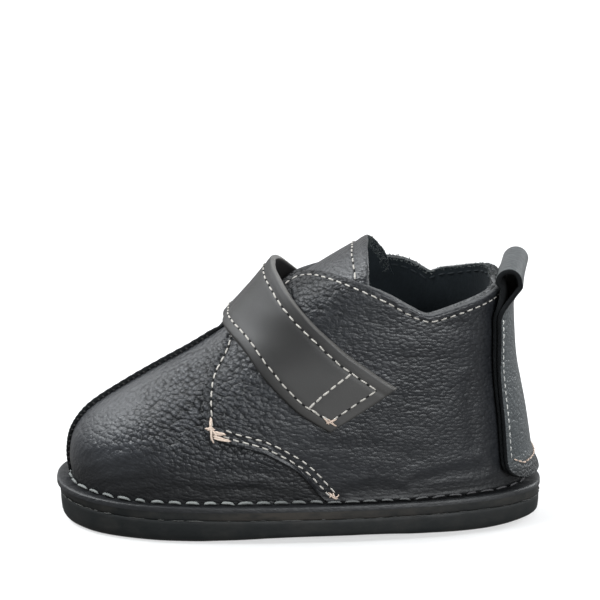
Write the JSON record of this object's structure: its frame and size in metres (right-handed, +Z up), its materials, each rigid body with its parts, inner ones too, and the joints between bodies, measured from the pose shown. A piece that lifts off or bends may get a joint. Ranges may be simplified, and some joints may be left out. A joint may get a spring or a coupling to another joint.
{
  "type": "first walker boot",
  "caption": "Soft leather ankle boot for an infant with a raised centre toe seam, an instep strap, a heel strip with a pull loop and a plain stitched rubber sole.",
  "frame": {"origin": "floor under the middle of the boot", "axes": "-X to the toe, +X to the heel, +Z up, -Y to the inner side of the foot"},
  "size_m": [0.1321, 0.0549, 0.0783],
  "materials": {
    "sole_rubber": "matt moulded rubber",
    "midsole_rubber": "matt cut sheet rubber",
    "footbed": "brushed leather footbed",
    "pebbled_leather": "pebbled black leather, soft sheen",
    "smooth_leather": "smooth waxy dark grey leather"
  },
  "bodies": {
    "root": {"outsole": "sole_rubber", "midsole": "midsole_rubber", "insole": "footbed", "upper": "pebbled_leather", "quarter_medial": "pebbled_leather", "quarter_lateral": "pebbled_leather", "toe_seam": "pebbled_leather", "tongue": "pebbled_leather", "strap": "smooth_leather", "heel_strip": "smooth_leather"}
  },
  "joints": []
}
